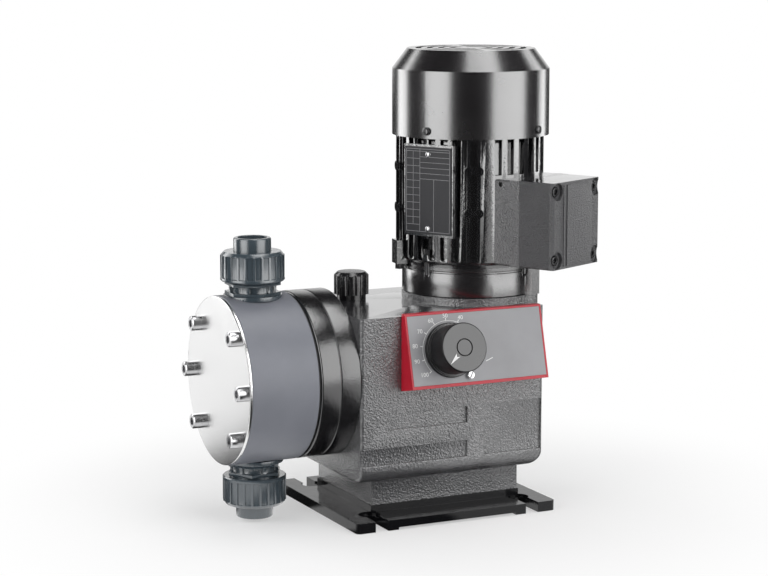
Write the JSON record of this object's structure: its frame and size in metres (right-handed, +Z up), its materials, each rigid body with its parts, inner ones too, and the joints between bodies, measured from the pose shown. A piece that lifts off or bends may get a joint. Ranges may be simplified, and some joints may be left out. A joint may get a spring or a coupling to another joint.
{
  "type": "diaphragm metering pump",
  "caption": "Free-standing diaphragm metering pump: upright finned motor on a worm gear housing, round plastic pump head with ball valves and a stroke knob on a sloping panel.",
  "frame": {"origin": "centre of the base plate's flat underside", "axes": "+Z up along the motor shaft, -X towards the pump head along the pump axis, -Y towards the stroke knob's panel"},
  "size_m": [0.3353, 0.2063, 0.4039],
  "materials": {
    "black_cast": "satin black paint",
    "motor_paint": "gloss black paint on cast aluminium",
    "black_sheet": "satin black paint on sheet steel",
    "black_plastic": "gloss black moulding",
    "red_plastic": "crimson moulding",
    "dial_black": "matt black with white marks",
    "grey_pvc": "machined grey PVC",
    "dark_pvc": "moulded dark grey PVC",
    "stainless": "polished stainless steel",
    "screw_steel": "bright steel",
    "machined_steel": "ground steel",
    "bright_plate": "plain aluminium plate",
    "bronze": "cast bronze",
    "copper": "varnished copper winding",
    "iron_stack": "electrical sheet stack",
    "rubber": "black elastomer",
    "white_ball": "polished ball",
    "fan_plastic": "moulded fan",
    "brown_plastic": "moulded terminal block"
  },
  "bodies": {
    "pump": {"adjuster_bush": "bronze", "base_plate": "black_cast", "base_screws": "screw_steel", "bearing_cover": "black_cast", "bearing_cover_screws": "screw_steel", "blanking_plugs": "black_plastic", "box_cover_screws": "screw_steel", "cover_plate": "stainless", "dial_plate": "dial_black", "diaphragm": "rubber", "discharge_tailpiece": "dark_pvc", "discharge_valve_body": "dark_pvc", "drive_end_shield": "motor_paint", "earth_screw": "screw_steel", "fan_cover": "black_sheet", "fan_cover_screws": "screw_steel", "fan_end_shield": "motor_paint", "gear_housing": "black_cast", "head_screws": "screw_steel", "intermediate_ring": "black_cast", "motor_bearings": "machined_steel", "motor_housing": "motor_paint", "motor_screws": "screw_steel", "nameplate": "bright_plate", "nameplate_rivets": "screw_steel", "panel_bezel": "red_plastic", "pump_head": "grey_pvc", "return_spring": "machined_steel", "rod_bush": "bronze", "rod_seal": "rubber", "shaft_bearings": "machined_steel", "shield_screws": "screw_steel", "stator_core": "iron_stack", "stator_windings": "copper", "suction_tailpiece": "dark_pvc", "suction_valve_body": "dark_pvc", "terminal_block": "brown_plastic", "terminal_box_base": "motor_paint", "terminal_box_cover": "motor_paint", "valve_o_rings": "rubber", "valve_seats": "dark_pvc"},
    "rotor": {"rotor_shaft": "machined_steel", "rotor_core": "iron_stack", "worm": "machined_steel", "cooling_fan": "fan_plastic"},
    "eccentric": {"eccentric_shaft": "machined_steel", "worm_wheel": "bronze", "eccentric_cams": "machined_steel"},
    "rod": {"push_rod": "machined_steel", "crosshead": "machined_steel", "diaphragm_disc": "machined_steel"},
    "suction_ball": {"suction_ball": "white_ball"},
    "discharge_ball": {"discharge_ball": "white_ball"},
    "knob": {"adjuster_knob": "black_plastic", "knob_cap": "black_plastic", "adjuster_spindle": "machined_steel"},
    "lock_screw": {"lock_screw": "screw_steel"},
    "suction_nut": {"suction_union_nut": "dark_pvc"},
    "discharge_nut": {"discharge_union_nut": "dark_pvc"},
    "filler_cap": {"filler_cap": "black_plastic"}
  },
  "joints": [
    {"name": "motor_spin", "type": "hinge", "parent": "pump", "child": "rotor", "pos_m": [0.0555, 0, 0.1254], "axis": [0, 0, 1], "continuous": true},
    {"name": "eccentric_spin", "type": "hinge", "parent": "pump", "child": "eccentric", "pos_m": [0.0125, 0, 0.1254], "axis": [0, 1, 0], "continuous": true},
    {"name": "rod_slide", "type": "slide", "parent": "pump", "child": "rod", "axis": [1, 0, 0], "range_m": [-0.01, 0], "stiffness_N_per_m": 2000, "springref_m": 0.01, "deforming": ["return_spring", "diaphragm"]},
    {"name": "suction_ball_lift", "type": "slide", "parent": "pump", "child": "suction_ball", "axis": [0, 0, 1], "range_m": [0, 0.003]},
    {"name": "discharge_ball_lift", "type": "slide", "parent": "pump", "child": "discharge_ball", "axis": [0, 0, 1], "range_m": [0, 0.003]},
    {"name": "knob_turn", "type": "hinge", "parent": "pump", "child": "knob", "pos_m": [-0.009, -0.08672, 0.152], "axis": [0, -0.9674, 0.2531], "range_deg": [-257, 0]},
    {"name": "lock_screw_turn", "type": "hinge", "parent": "pump", "child": "lock_screw", "pos_m": [0.0076, -0.09247, 0.13004], "axis": [0, -0.9674, 0.2531], "range_deg": [0, 360]},
    {"name": "suction_nut_turn", "type": "hinge", "parent": "pump", "child": "suction_nut", "pos_m": [-0.1545, 0, 0.027], "axis": [0, 0, 1], "continuous": true},
    {"name": "discharge_nut_turn", "type": "hinge", "parent": "pump", "child": "discharge_nut", "pos_m": [-0.1545, 0, 0.224], "axis": [0, 0, 1], "continuous": true},
    {"name": "filler_cap_turn", "type": "hinge", "parent": "pump", "child": "filler_cap", "pos_m": [-0.0475, 0.03, 0.19], "axis": [0, 0, 1], "continuous": true}
  ],
  "couplings": [
    {"joint": "eccentric_spin", "follows": "motor_spin", "ratio": 0.041667}
  ]
}
